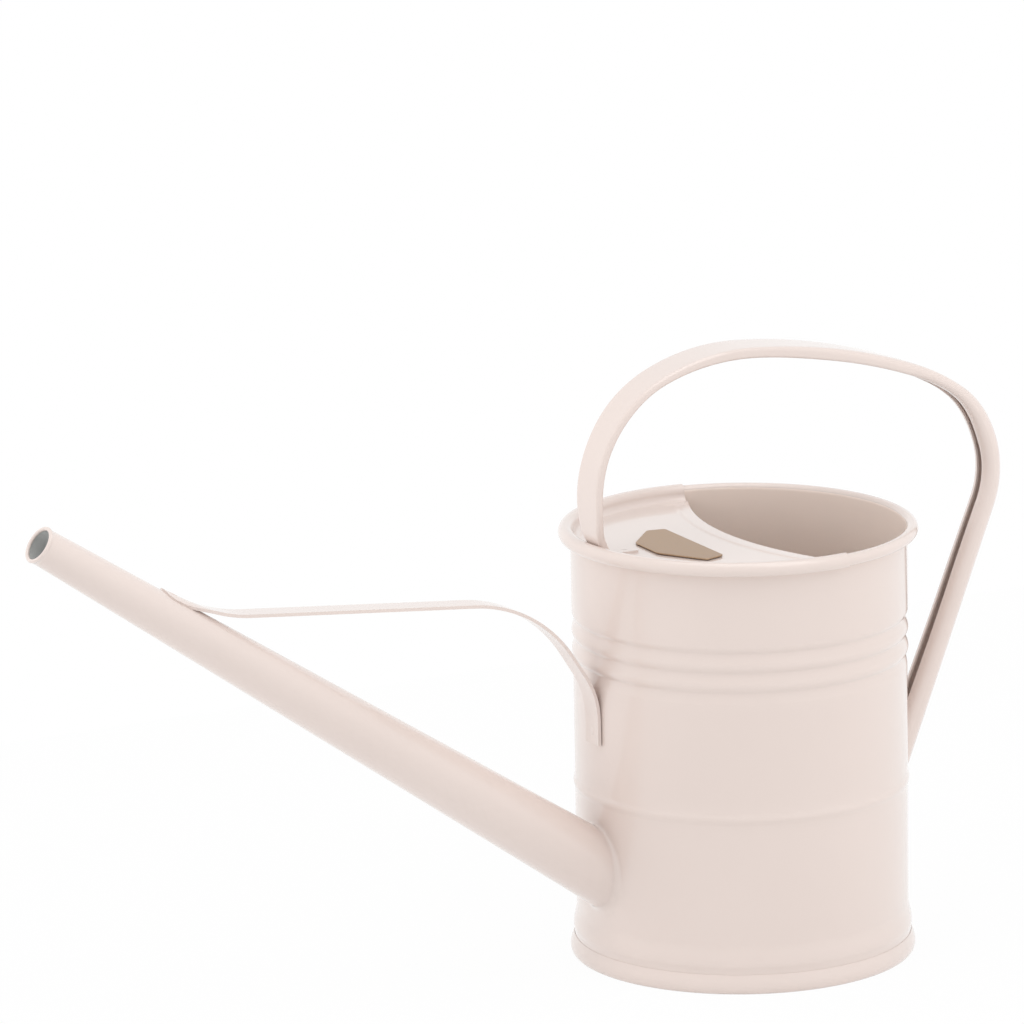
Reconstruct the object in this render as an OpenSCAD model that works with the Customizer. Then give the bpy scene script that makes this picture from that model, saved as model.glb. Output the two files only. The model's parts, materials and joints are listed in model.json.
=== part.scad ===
// Small sheet-metal watering can: half-covered top, strap handle and a long braced spout.
// The can stands on z = 0 with its axis on Z. The spout points to -X and the handle's back to +X.

/* [Body] */
// Outside diameter of the lower wall
body_d = 120; // [116:1:124]
// Height of the rim above the ground
body_h = 157.6; // [154:0.2:163]
// Thickness of the body's sheet
sheet = 0.6; // [0.4:0.1:0.7]
// How far the upper wall stands out past the lower one
upper_step = 0.4; // [0.2:0.1:0.6]
// Radius of the rolled rim
rim_r = 2.2; // [1.8:0.1:2.6]

/* [Grooves and bead] */
// Height of the middle one of the three rolled grooves
groove_z = 117; // [115:0.2:121]
// Distance from one groove to the next
groove_pitch = 7.2; // [6:0.2:8]
// Depth of the grooves
groove_depth = 1; // [0.5:0.1:1.4]
// Height of the raised bead
bead_z = 63.8; // [62:0.2:70]
// Width of the raised bead
bead_w = 4.6; // [3:0.2:6]
// How far the raised bead stands out
bead_out = 0.5; // [0.3:0.1:1]

/* [Foot] */
// Outside diameter of the foot seam
foot_d = 124.8; // [124:0.2:127]
// Height of the foot seam
seam_h = 7; // [6:0.5:9]
// Height of the flare's crest above the seam
crest_h = 3; // [2.5:0.5:6]
// Height from the flare's crest up to the straight wall
flare_h = 8; // [7:0.5:12]
// How high the bottom sits above the ground
floor_z = 3; // [2:0.5:5]

/* [Cover] */
// Thickness of the cover's sheet
cover_sheet = 0.5; // [0.4:0.1:0.6]
// Depth of the cover's floor below the rim
cover_drop = 4.8; // [4:0.2:6]
// How far the free edge's middle stands on the spout side of the can's axis
mouth_offset = 3; // [0:1:8]
// Radius of the free edge's curve
mouth_r = 116; // [100:1:140]
// Width of the folded hem along the free edge
hem_w = 4.5; // [3:0.5:6]
// How far the hem stands above the cover's floor
hem_rise = 0.5; // [0.3:0.1:0.8]
// Angle from the spout to where the crimp over the rim ends, each way
crimp_angle = 101; // [98:1:102]

/* [Badge] */
// Length of the badge
badge_l = 49; // [40:1:52]
// Width of the badge
badge_w = 20.5; // [16:0.5:22]
// Thickness of the badge
badge_t = 0.6; // [0.4:0.1:1]
// Distance from the badge's straight edge to the can's axis
badge_x = 18.5; // [16:0.5:21]
// Thickness of the adhesive under the badge
glue_t = 0.2; // [0.1:0.05:0.3]

/* [Handle] */
// Thickness of the handle strap
strap_t = 0.8; // [0.6:0.1:0.9]
// Width of the strap at its front foot
strap_foot_w = 10; // [9:0.5:12]
// Width of the strap over the grip
strap_grip_w = 17.6; // [15:0.2:19]
// Width of the strap on the rear leg
strap_leg_w = 10; // [9:0.2:12]
// Depth of the strap's side lips at the front foot
lip_foot_h = 2.9; // [2:0.1:4]
// Depth of the side lips over the grip
lip_grip_h = 3.9; // [3:0.1:4.6]
// Depth of the side lips on the rear leg
lip_leg_h = 8.2; // [7.6:0.2:9]
// Lean of the front leg at its foot, towards the spout
foot_lean = 39.9; // [36:0.1:42]
// Radius of the front leg's curve, next to its foot
foot_curve_r = 20.5; // [18:0.5:24]
// Radius of the front leg's curve, below the grip
front_leg_r = 97; // [90:1:104]
// Radius of the bend between the front leg and the grip
front_bend_r = 46.9; // [44:0.1:50]
// Radius of the grip's front part
grip_front_r = 80.3; // [76:0.1:84]
// Radius of the grip's flattest part
grip_r = 229; // [215:1:245]
// Radius of the grip's rear part
grip_rear_r = 95; // [88:0.5:102]
// Radius of the bend between the grip and the rear leg
rear_top_r = 38.5; // [36:0.5:42]
// Radius of the bend between the rear leg and its tab
rear_bend_r = 12; // [10:0.5:14]
// Height of the top of the rear tab
rear_tab_z = 36; // [32:0.2:44]
// Length of the front foot's tab
foot_tab = 14.5; // [13:0.5:16]
// Length of the rear tab against the wall
rear_tab = 9; // [7:0.5:10]

/* [Spout] */
// Length of the spout along its axis, from the wall to the tip
spout_l = 261.5; // [240:0.5:270]
// Slope of the spout above the horizontal
spout_angle = 34.2; // [33:0.2:35]
// Height at which the spout's axis meets the wall
spout_z = 38.7; // [38:0.1:41]
// Outside diameter of the spout at the wall
spout_root_d = 25.2; // [24:0.2:27]
// Outside diameter of the spout at the tip
spout_tip_d = 13; // [11:0.5:15]
// Radius of the rolled edge at the tip
tip_edge_r = 0.55; // [0.45:0.05:0.7]
// Width of the solder fillet around the spout's root
solder_w = 1.2; // [0.8:0.2:2]

/* [Brace] */
// Width of the brace strap
brace_w = 9.2; // [8:0.2:11]
// Thickness of the brace strap
brace_t = 1.2; // [0.8:0.1:1.4]
// Distance along the spout to the brace's upper end
brace_reach = 211.5; // [205:0.5:216]
// Length of the brace's upper tab, along the spout
brace_tab = 9; // [8:0.5:11]
// Height of the brace's lower end on the wall
brace_z = 84.6; // [82:0.2:88]
// Slope of the brace below its knee
knee_angle = 57.3; // [54:0.1:60]
// Radius of the knee
knee_r = 52.6; // [48:0.2:58]
// Length of the straight below the knee
knee_drop = 9.4; // [6:0.2:14]

/* [Hidden] */
$fn = 96;

paint = "#ddd3cd";
brass = "#b08a4c";

fit_gap = 0.05;         // between pieces that are pressed together
cut = 1;                // how far a cut runs past what it cuts
arc_steps = 8;          // straight lengths in one rounded stretch of an outline
body_r = body_d/2;
upper_r = body_r + upper_step;
groove_r = upper_r - groove_depth;
rim_z = body_h - rim_r;
rim_centre_r = upper_r - sheet + rim_r;

foot_r = foot_d/2;
seam_bulge = 0.9;       // how far the seam stands out past its top edge
under_w = 1.3;          // rounding of the seam's underside, inwards
under_h = 2.2;          // and upwards
valley_r = foot_r - seam_bulge - sheet - fit_gap;
valley_z = seam_h + 1;
crest_r = valley_r + 0.3;
crest_z = seam_h + crest_h;
flare_z = crest_z + flare_h;
pan_wall_r = valley_r - sheet - fit_gap;

function ease(t) = t*t*(3 - 2*t);

// Outer outline of the wall from its foot to the rim, as [radius, height]
flare_line = [for (k = [0:arc_steps])
    [crest_r + (body_r - crest_r)*ease(k/arc_steps), crest_z + flare_h*k/arc_steps]];
bead_line = [for (k = [0:arc_steps])
    [body_r + bead_out*sin(180*k/arc_steps), bead_z + bead_w*(k/arc_steps - 0.5)]];
groove_line = [for (k = [-1.5*arc_steps:1.5*arc_steps])
    let(crest = k < -arc_steps ? body_r : upper_r)
    [groove_r + (crest - groove_r)*abs(sin(180*k/arc_steps)), groove_z + groove_pitch*k/arc_steps]];
wall_line = concat([[valley_r, sheet + fit_gap], [valley_r, valley_z]],
                   flare_line, bead_line, groove_line, [[upper_r, rim_z]]);

// The space that the can fills, from the ground to the rim
module body_space() {
    rotate_extrude() polygon(concat([[0, 0], [valley_r, 0]], wall_line, [[0, rim_z]]));
}

// The spout's own axis as +Z, starting where it meets the wall
module on_spout() {
    translate([-body_r, 0, spout_z]) rotate([0, spout_angle - 90, 0]) children();
}

root_r = spout_root_d/2;
tip_r = spout_tip_d/2;
root_run = 22;          // how far the spout's cone is drawn inside the wall, before it is cut off
function spout_r(u) = root_r + (tip_r - root_r)*u/spout_l;

// The spout's cone from the distance `from` to the distance `to`, made wider by `extra` all round
module spout_cone(from, to, extra) {
    on_spout() translate([0, 0, from])
        cylinder(h = to - from, r1 = spout_r(from) + extra, r2 = spout_r(to) + extra);
}

module body_shell() {
    inner_line = [for (k = [len(wall_line) - 1:-1:0]) wall_line[k] - [sheet, 0]];
    color(paint) difference() {
        rotate_extrude() {
            polygon(concat(wall_line, inner_line));
            translate([rim_centre_r, rim_z]) difference() {
                circle(rim_r);
                circle(rim_r - sheet);
            }
        }
        spout_cone(-root_run, root_run, -sheet);
    }
}

module base_pan() {
    seam_line = [for (k = [0:arc_steps])
        [foot_r - seam_bulge*(1 - cos(90*k/arc_steps)), under_h + (seam_h - under_h)*k/arc_steps]];
    under_line = [for (k = [0:arc_steps - 1]) let(a = 90*k/arc_steps)
        [foot_r - under_w*(1 - sin(a)), under_h*(1 - cos(a))]];
    seam_back = [for (k = [arc_steps:-1:0]) seam_line[k] - [sheet, 0]];
    color(paint) rotate_extrude() polygon(concat(
        [[0, floor_z], [pan_wall_r - sheet, floor_z], [pan_wall_r - sheet, 0]],
        under_line, seam_line, seam_back,
        [[valley_r + fit_gap, sheet], [pan_wall_r, sheet], [pan_wall_r, floor_z + sheet],
         [0, floor_z + sheet]]));
}

cover_z = body_h - cover_drop;                      // top of the cover's floor
cover_r = rim_centre_r - rim_r - fit_gap - cover_sheet;     // inside of the cover's edge
cover_corner = cover_drop - rim_r;                  // hollow corner between the floor and the edge
mouth_x = mouth_r - mouth_offset;                   // centre of the free edge's curve
crimp_drop = 1.8;       // how far the crimp comes down below the rim's middle, outside

// Cross-section of the cover: its floor, the hollow corner, and the crimp over the rim
module cover_section() {
    crimp_r = rim_r + fit_gap;
    translate([rim_centre_r, rim_z]) difference() {
        circle(crimp_r + cover_sheet);
        circle(crimp_r);
        translate([-2*crimp_r, -3*crimp_r - crimp_drop]) square([4*crimp_r, 3*crimp_r]);
        translate([-3*crimp_r, -3*crimp_r - fit_gap]) square(3*crimp_r);
    }
    translate([cover_r - cover_corner, rim_z]) difference() {
        circle(cover_corner + cover_sheet);
        circle(cover_corner);
        translate([-2*cover_corner, -2*cover_corner]) square([2*cover_corner, 4*cover_corner]);
        translate([-cut, 0]) square(2*cover_corner);
    }
    translate([0, cover_z - cover_sheet]) square([cover_r - cover_corner, cover_sheet]);
}

module top_cover() {
    far = 2*body_r;
    corner = far*[-cos(crimp_angle), sin(crimp_angle)];
    color(paint) difference() {
        union() {
            intersection() {
                rotate_extrude() cover_section();
                translate([0, 0, cover_z - cut]) linear_extrude(2*cover_drop)
                    polygon([[0, 0], corner, [-far, far], [-far, -far], [corner[0], -corner[1]]]);
            }
            intersection() {
                translate([mouth_x, 0, cover_z - cover_sheet])
                    cylinder(h = cover_sheet + hem_rise, r = mouth_r + hem_w);
                translate([0, 0, cover_z - cut]) cylinder(h = 2*cut, r = cover_r - cover_corner);
            }
        }
        translate([mouth_x, 0, cover_z - 2*cut]) cylinder(h = 2*cover_drop + 2*cut, r = mouth_r);
    }
}

// The badge seen from above, with its straight edge on the mouth side
badge_points = [[-badge_x, 0.42*badge_l], [-badge_x - 0.34*badge_w, 0.45*badge_l],
                [-badge_x - 0.95*badge_w, 0.17*badge_l], [-badge_x - badge_w, -0.19*badge_l],
                [-badge_x - 0.5*badge_w, -0.55*badge_l], [-badge_x - 0.1*badge_w, -0.5*badge_l]];

module badge_adhesive() {
    middle = [-badge_x - badge_w/2, 0];
    glue_share = 0.88;  // size of the adhesive compared with the badge
    color("white") translate([0, 0, cover_z]) linear_extrude(glue_t)
        polygon([for (p = badge_points) middle + glue_share*(p - middle)]);
}

module badge_plate() {
    color(brass) translate([0, 0, cover_z + glue_t]) linear_extrude(badge_t) polygon(badge_points);
}

// A bent strip seen from the side. Its runs are [length, turn], with clockwise turns positive.
function run_point(p, heading, run, t) = run[1] == 0
    ? p + run[0]*t*[cos(heading), sin(heading)]
    : let(r = run[0]*180/(PI*run[1]))
      p + r*[sin(heading) - sin(heading - run[1]*t), cos(heading - run[1]*t) - cos(heading)];

function run_steps(run) = max(1, ceil(abs(run[1])/6));

// Stations along the runs, as [place, heading, distance]
function stations(runs, p, heading, s = 0, i = 0) = i == len(runs) ? [[p, heading, s]]
    : let(run = runs[i], n = run_steps(run))
      concat([for (k = [0:n - 1])
                  [run_point(p, heading, run, k/n), heading - run[1]*k/n, s + run[0]*k/n]],
             stations(runs, run_point(p, heading, run, 1), heading - run[1], s + run[0], i + 1));

function bend(r, turn) = [abs(r*turn)*PI/180, turn];
function last(list) = list[len(list) - 1];

// The handle's outer face, from the front foot over the grip and down to the wall
foot_x = -(cover_r - cover_corner);                  // where the floor turns up into its corner
foot_heading = 90 + foot_lean;
grip_bends = [bend(foot_curve_r, 33.2), bend(front_leg_r, 5), bend(front_bend_r, 68.2),
              bend(grip_front_r, 26.8), bend(grip_r, 17.9), bend(grip_rear_r, 14.3)];
grip_end = last(stations(grip_bends, [foot_x, cover_z], foot_heading));
seat_x = body_r + fit_gap;                          // the wall that the rear leg rests against
// The rear leg runs along the line that touches the bend above it and the bend onto the wall
rear_top_centre = grip_end[0] + rear_top_r*[sin(grip_end[1]), -cos(grip_end[1])];
leg_reach = [seat_x + strap_t + rear_bend_r, rear_tab_z] - rear_top_centre;
leg_heading = atan2(leg_reach[1], leg_reach[0]) - asin((rear_top_r + rear_bend_r)/norm(leg_reach));
leg_l = sqrt(pow(norm(leg_reach), 2) - pow(rear_top_r + rear_bend_r, 2));
leg_steps = 10;
leg_runs = [for (k = [1:leg_steps]) [leg_l/leg_steps, 0]];
handle_line = stations(concat(grip_bends, [bend(rear_top_r, grip_end[1] - leg_heading)], leg_runs,
                              [bend(rear_bend_r, leg_heading + 90)]),
                       [foot_x, cover_z], foot_heading);
strap_l = last(handle_line)[2];

// Value of a table at the share s of the strap's length, eased between its rows
function eased(table, s, i = 0) = i < len(table) - 2 && s > table[i + 1][0] ? eased(table, s, i + 1)
    : let(t = max(0, min(1, (s - table[i][0])/(table[i + 1][0] - table[i][0]))))
      table[i][1] + (table[i + 1][1] - table[i][1])*ease(t);

grip_corner_r = 1.2;    // rounding of the strap's outer corners over the grip
leg_corner_r = 3.4;     // and on the rear leg
grip_edge_w = 0.9;      // width of the lips' turned-in edges over the grip
bend_edge_w = 3.5;      // in the bend between the grip and the rear leg
leg_edge_w = 1.8;       // and on the rear leg
strap_widths = [[0, strap_foot_w], [0.05, 0.88*strap_grip_w], [0.1, 0.84*strap_grip_w],
                [0.16, 0.89*strap_grip_w], [0.27, 0.94*strap_grip_w], [0.34, strap_grip_w],
                [0.6, strap_leg_w], [0.86, 1.1*strap_leg_w]];
lip_depths = [[0, lip_foot_h], [0.045, 0.82*lip_foot_h], [0.16, 0.6*lip_grip_h],
              [0.29, 0.87*lip_grip_h], [0.38, 1.13*lip_grip_h], [0.52, 1.13*lip_grip_h],
              [0.61, 0.93*lip_leg_h], [0.76, lip_leg_h], [0.97, 1.17*lip_leg_h]];
strap_corners = [[0.29, grip_corner_r], [0.59, leg_corner_r]];
turned_edges = [[0.39, grip_edge_w], [0.6, bend_edge_w], [0.67, leg_edge_w]];

// Depth of the lips at a station: the lips never reach past the wall
function lip_depth(station) = max(strap_t + 0.1,
    min(eased(lip_depths, station[2]/strap_l),
        station[0][0] > 0 && station[0][1] < rim_z ? -(station[0][0] - seat_x)/sin(station[1]) : body_r));

function corner_arc(depth, side, r, from, to) = [for (k = [0:4])
    let(a = from + (to - from)*k/4) [depth - r*cos(a), side + r*sin(a)]];

// Cross-section of the strap: a channel that opens inwards, as [depth below the outer face, y].
// `edge` is the width of the edges turned in at the lips' ends.
function strap_section(w, h, corner, edge) =
    let(spare = h - strap_t, in_r = min(corner - strap_t, spare/4), r = in_r + strap_t,
        side = w/2 - r, edge_h = h - min(strap_t, spare/2), inner = w/2 - strap_t)
    concat([[h, edge - w/2], [h, -w/2]], corner_arc(r, -side, r, -90, 0), corner_arc(r, side, r, 0, 90),
           [[h, w/2], [h, w/2 - edge], [edge_h, w/2 - edge], [edge_h, inner]],
           corner_arc(r, side, in_r, 90, 0), corner_arc(r, -side, in_r, 0, -90),
           [[edge_h, -inner], [edge_h, edge - w/2]]);

foot_blend = 6;         // length over which the sections turn from upright to square to the strap

module strap_sweep() {
    rings = [for (st = handle_line)
        let(share = st[2]/strap_l,
            square_to = 90 + (st[1] - 90)*ease(min(1, st[2]/foot_blend)),
            section = strap_section(eased(strap_widths, share), lip_depth(st),
                                    eased(strap_corners, share), eased(turned_edges, share)))
        [for (q = section)
            [st[0][0] + q[0]*sin(square_to), q[1], st[0][1] - q[0]*cos(square_to)]]];
    n = len(rings[0]);
    m = len(rings);
    // the end caps run as a strip between the outer and the inner side of the channel
    cap = [for (k = [0:n/2 - 2]) each [[k, k + 1, n - 2 - k], [k, n - 2 - k, n - 1 - k]]];
    polyhedron(points = [for (ring = rings) for (p = ring) p],
        faces = concat([for (f = cap) [f[2], f[1], f[0]]],
            [for (f = cap) [for (k = f) (m - 1)*n + k]],
            [for (i = [0:m - 2]) for (k = [0:n - 1]) let(a = i*n + k, b = i*n + (k + 1)%n)
                each [[a, b, b + n], [a, b + n, a + n]]]));
}

weld_r = 2.2;
weld_rise = 0.2;        // how far a weld stands above the strap
front_weld_x = foot_x + foot_tab - strap_foot_w/2;
rear_weld_z = rear_tab_z - rear_tab/2;

// A weld's plug through a strap that lies on the XY plane
module weld_plug(r, thickness) {
    translate([0, 0, -cut]) cylinder(h = cut + thickness, r = r);
}

module handle() {
    color(paint) {
        strap_sweep();
        difference() {
            union() {
                translate([foot_x + strap_t/2, -strap_foot_w/2, cover_z])
                    cube([front_weld_x - foot_x - strap_t/2, strap_foot_w, strap_t]);
                translate([front_weld_x, 0, cover_z]) cylinder(h = strap_t, r = strap_foot_w/2);
            }
            translate([front_weld_x, 0, cover_z]) weld_plug(weld_r, 2*cut);
        }
        difference() {
            translate([seat_x, -strap_leg_w/2, rear_tab_z - rear_tab])
                cube([strap_t, strap_leg_w, rear_tab + strap_t]);
            translate([seat_x, 0, rear_weld_z]) rotate([0, 90, 0]) weld_plug(weld_r, 2*cut);
        }
    }
}

module handle_front_weld() {
    color(paint) translate([front_weld_x, 0, cover_z]) cylinder(h = strap_t + weld_rise, r = weld_r);
}

module handle_rear_weld() {
    color(paint) translate([body_r, 0, rear_weld_z]) rotate([0, 90, 0])
        cylinder(h = fit_gap + strap_t + weld_rise, r = weld_r);
}

module spout_tube() {
    color(paint) {
        difference() {
            spout_cone(-root_run, spout_l, 0);
            spout_cone(-root_run - cut, spout_l + cut, -sheet);
            body_space();
        }
        on_spout() translate([0, 0, spout_l]) rotate_extrude()
            translate([tip_r - tip_edge_r, 0]) circle(tip_edge_r);
    }
}

module spout_solder() {
    color(paint) difference() {
        intersection() {
            spout_cone(-root_run, root_run, solder_w);
            cylinder(h = body_h, r = body_r + solder_w);
        }
        spout_cone(-root_run - cut, root_run + cut, 0);
        body_space();
    }
}

// The brace's middle line: up the wall it ends on, over the knee, along to the spout's top
spout_axis = [-cos(spout_angle), sin(spout_angle)];
spout_up = [sin(spout_angle), cos(spout_angle)];
function spout_top(u) = [-body_r, spout_z] + u*spout_axis + spout_r(u)*spout_up;
top_heading = -spout_angle + atan((root_r - tip_r)/spout_l);
top_normal = [-sin(top_heading), cos(top_heading)];
lift_r = 55;            // radius of the bend that lifts the brace off the spout
toe_r = 33.2;           // radius of the bend onto the wall
toe_l = 8;              // length of the lower tab
wall_x = -body_r - fit_gap - brace_t/2;
toe_top = [wall_x, brace_z + toe_l];
toe_start = toe_top - toe_r*[1 - sin(knee_angle), -cos(knee_angle)];
knee_end = toe_start + knee_drop*[-cos(knee_angle), sin(knee_angle)];
knee_centre = knee_end + knee_r*[-sin(knee_angle), -cos(knee_angle)];
brace_start = spout_top(brace_reach) + (fit_gap + brace_t/2)*top_normal;
lift_start = brace_start + brace_tab*[cos(top_heading), sin(top_heading)];
lift_centre = lift_start + lift_r*top_normal;
// The straight between the two bends runs along the line that touches both
centres = knee_centre - lift_centre;
span_heading = atan2(centres[1], centres[0]) + asin((lift_r + knee_r)/norm(centres));
span_l = sqrt(pow(norm(centres), 2) - pow(lift_r + knee_r, 2));
brace_line = stations([[brace_tab, 0], bend(lift_r, top_heading - span_heading), [span_l, 0],
                       bend(knee_r, span_heading + knee_angle), [knee_drop, 0],
                       bend(toe_r, 90 - knee_angle), [toe_l, 0]], brace_start, top_heading);
brace_end_r = 3;        // rounding of the brace's corners

module brace_strip(side_w, line) {
    band = [for (side = [-1, 1]) [for (st = line)
        st[0] + side*brace_t/2*[-sin(st[1]), cos(st[1])]]];
    rotate([90, 0, 0]) translate([0, 0, -side_w/2]) linear_extrude(side_w)
        polygon(concat(band[0], [for (k = [len(line) - 1:-1:0]) band[1][k]]));
}

// Places a weld on the brace's upper tab
module on_upper_tab() {
    place = spout_top(brace_reach - brace_w/2) + fit_gap*top_normal;
    translate([place[0], 0, place[1]]) rotate([0, -top_heading, 0]) children();
}

module brace() {
    color(paint) difference() {
        brace_strip(brace_w, brace_line);
        on_upper_tab() weld_plug(weld_r, 2*cut);
        translate([-body_r, 0, brace_z + brace_w/2]) rotate([0, -90, 0]) weld_plug(weld_r, 2*cut);
        // rounded corners at the upper end
        on_upper_tab() for (side = [-1, 1]) translate([-brace_w/2, side*brace_w/2, -cut]) {
            difference() {
                translate([-brace_end_r, -brace_end_r, 0]) cube([2*brace_end_r, 2*brace_end_r, 3*cut]);
                translate([brace_end_r, -side*brace_end_r, -cut]) cylinder(h = 5*cut, r = brace_end_r);
                translate([brace_end_r, -2*brace_end_r, -cut]) cube([2*brace_end_r, 4*brace_end_r, 5*cut]);
                translate([-2*brace_end_r, side > 0 ? -3*brace_end_r : brace_end_r, -cut])
                    cube([4*brace_end_r, 2*brace_end_r, 5*cut]);
            }
        }
    }
}

module brace_spout_weld() {
    color(paint) difference() {
        on_upper_tab() weld_plug(weld_r, brace_t + weld_rise);
        spout_cone(0, spout_l, 0);
    }
}

module brace_body_weld() {
    color(paint) translate([-body_r, 0, brace_z + brace_w/2]) rotate([0, -90, 0])
        cylinder(h = fit_gap + brace_t + weld_rise, r = weld_r);
}

body_shell();
base_pan();
top_cover();
badge_plate();
badge_adhesive();
handle();
handle_front_weld();
handle_rear_weld();
spout_tube();
spout_solder();
brace();
brace_spout_weld();
brace_body_weld();
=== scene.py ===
# A small cream sheet-metal watering can with a strap handle and a long braced spout.
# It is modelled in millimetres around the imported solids: the spout points to -X and +Z is up.
import bmesh
import bpy
import json
from math import acos, asin, atan, atan2, ceil, cos, degrees, hypot, pi, radians, sin, sqrt, tan
from mathutils import Matrix, Vector

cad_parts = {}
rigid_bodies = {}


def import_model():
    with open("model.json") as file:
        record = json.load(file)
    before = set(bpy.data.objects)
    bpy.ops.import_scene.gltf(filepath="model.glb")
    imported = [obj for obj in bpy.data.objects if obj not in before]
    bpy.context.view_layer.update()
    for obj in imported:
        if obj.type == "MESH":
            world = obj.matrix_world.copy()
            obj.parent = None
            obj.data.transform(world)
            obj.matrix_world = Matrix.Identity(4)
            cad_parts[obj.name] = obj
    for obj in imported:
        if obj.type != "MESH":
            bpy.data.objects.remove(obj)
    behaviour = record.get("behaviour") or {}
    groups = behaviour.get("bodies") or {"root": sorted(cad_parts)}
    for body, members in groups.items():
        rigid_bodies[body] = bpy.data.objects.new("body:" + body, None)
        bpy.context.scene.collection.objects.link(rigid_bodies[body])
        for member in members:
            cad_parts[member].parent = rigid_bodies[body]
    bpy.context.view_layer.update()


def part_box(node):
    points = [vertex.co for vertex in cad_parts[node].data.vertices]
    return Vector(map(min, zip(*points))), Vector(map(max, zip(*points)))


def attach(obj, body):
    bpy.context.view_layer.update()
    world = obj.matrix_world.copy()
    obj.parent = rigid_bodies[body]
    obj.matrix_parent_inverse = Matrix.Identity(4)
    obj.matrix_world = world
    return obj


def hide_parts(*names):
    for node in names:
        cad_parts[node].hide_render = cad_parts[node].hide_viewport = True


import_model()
mm = 0.001  # a piece is scaled to metres when it is made
touching = 0.001  # corners nearer to each other than this, in millimetres, become one


def mix(a, b, t):
    return a + (b - a) * t


def ease(t):
    t = min(1.0, max(0.0, t))
    return t * t * (3 - 2 * t)


def tableAt(table, share):  # value of a table of (share, value), eased between its rows
    for (start, a), (end, b) in zip(table, table[1:]):
        if share <= end:
            return mix(a, b, ease((share - start) / (end - start)))
    return table[-1][1]


def boxOf(node):  # lowest and highest corner of a solid, in millimetres
    low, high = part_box(node)
    return low / mm, high / mm


def bend(radius, turn):  # a round run as (length, turn in degrees), clockwise when positive
    return abs(radius * radians(turn)), turn


def pathAt(start, runs, distance):  # place and heading along runs seen from the side
    x, z, heading = start
    for length, turn in runs:
        part = min(max(distance, 0), length)
        if turn:
            radius, after = length / radians(turn), heading - turn * part / length
            x += radius * (sin(radians(heading)) - sin(radians(after)))
            z += radius * (cos(radians(after)) - cos(radians(heading)))
            heading = after
        else:
            x += part * cos(radians(heading))
            z += part * sin(radians(heading))
        distance -= length
        if distance <= 0:
            break
    return x, z, heading


def stopsAlong(runs, longest, sharpest):  # distances at which a strap gets a row of corners
    stops, done = [0.0], 0.0
    for length, turn in runs:
        count = max(1, ceil(length / longest), ceil(abs(turn) / sharpest))
        stops += [done + length * (k + 1) / count for k in range(count)]
        done += length
    return stops


def arc(centre, radius, start, end, count):  # outline points on an arc, angles in degrees
    return [(centre[0] + radius * cos(radians(mix(start, end, k / count))),
             centre[1] + radius * sin(radians(mix(start, end, k / count)))) for k in range(count + 1)]


def splitRuns(outline, longest):  # long straights of an outline get more points
    points = []
    for a, b in zip(outline, outline[1:]):
        count = max(1, ceil(hypot(b[0] - a[0], b[1] - a[1]) / longest))
        points += [(mix(a[0], b[0], k / count), mix(a[1], b[1], k / count)) for k in range(count)]
    return points + [outline[-1]]


def easedRun(a, b, count):  # outline points from a up to just before b, with no corner at either
    return [(mix(a[0], b[0], ease(k / count)), mix(a[1], b[1], k / count)) for k in range(count)]


def spinOutline(bm, outline, steps, closed=True):  # (radius, height) points turned round Z
    verts = [bm.verts.new((r, 0, z)) for r, z in outline]
    ends = verts[1:] + verts[:1] if closed else verts[1:]
    edges = [bm.edges.new(pair) for pair in zip(verts, ends)]
    bmesh.ops.spin(bm, geom=verts + edges, axis=(0, 0, 1), cent=(0, 0, 0), angle=2 * pi,
                   steps=steps, use_merge=True)
    bmesh.ops.remove_doubles(bm, verts=bm.verts, dist=touching)
    bmesh.ops.recalc_face_normals(bm, faces=bm.faces)


def bentGrid(bm, across, along, place):  # a sheet whose corner (i, j) lies at place(i, j)
    sheet = {}
    for v in bmesh.ops.create_grid(bm, x_segments=across, y_segments=along, size=1)["verts"]:
        i, j = round((v.co.x + 1) / 2 * across), round((v.co.y + 1) / 2 * along)
        sheet[i, j] = v
        v.co = place(i, j)
    bmesh.ops.reverse_faces(bm, faces=bm.faces)
    return sheet


def makePiece(name, bm, material, slot, *nodes, sharp=40):  # a finished piece in place of its solid
    bmesh.ops.scale(bm, vec=(mm, mm, mm), verts=bm.verts)
    mesh = bpy.data.meshes.new(name)
    bm.to_mesh(mesh)
    bm.free()
    mesh.shade_smooth()
    mesh.set_sharp_from_angle(angle=radians(sharp))
    mesh.materials.append(material)
    piece = bpy.data.objects.new(name, mesh)
    bpy.context.scene.collection.objects.link(piece)
    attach(piece, "root")
    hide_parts(*nodes)
    return piece


def thicken(piece, thickness, even=True):  # sheet metal, with its thickness behind the modelled side
    solid = piece.modifiers.new("thickness", "SOLIDIFY")
    solid.thickness = thickness * mm
    solid.offset = -1
    solid.use_even_offset = even


def roundEdges(piece, width, angle=50):
    rounding = piece.modifiers.new("rounded edges", "BEVEL")
    rounding.width = width * mm
    rounding.segments = 3
    rounding.limit_method = "ANGLE"
    rounding.angle_limit = radians(angle)
    rounding.harden_normals = True


def cutAway(piece, cutter):  # takes the cutter's shape out of the piece for good
    cut = piece.modifiers.new("cut", "BOOLEAN")
    cut.object = cutter
    cut.solver = "EXACT"
    uncut = piece.data
    piece.data = bpy.data.meshes.new_from_object(
        piece.evaluated_get(bpy.context.evaluated_depsgraph_get()))
    piece.modifiers.remove(cut)
    piece.data.name = uncut.name
    bpy.data.meshes.remove(uncut)
    bpy.data.objects.remove(cutter)


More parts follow.
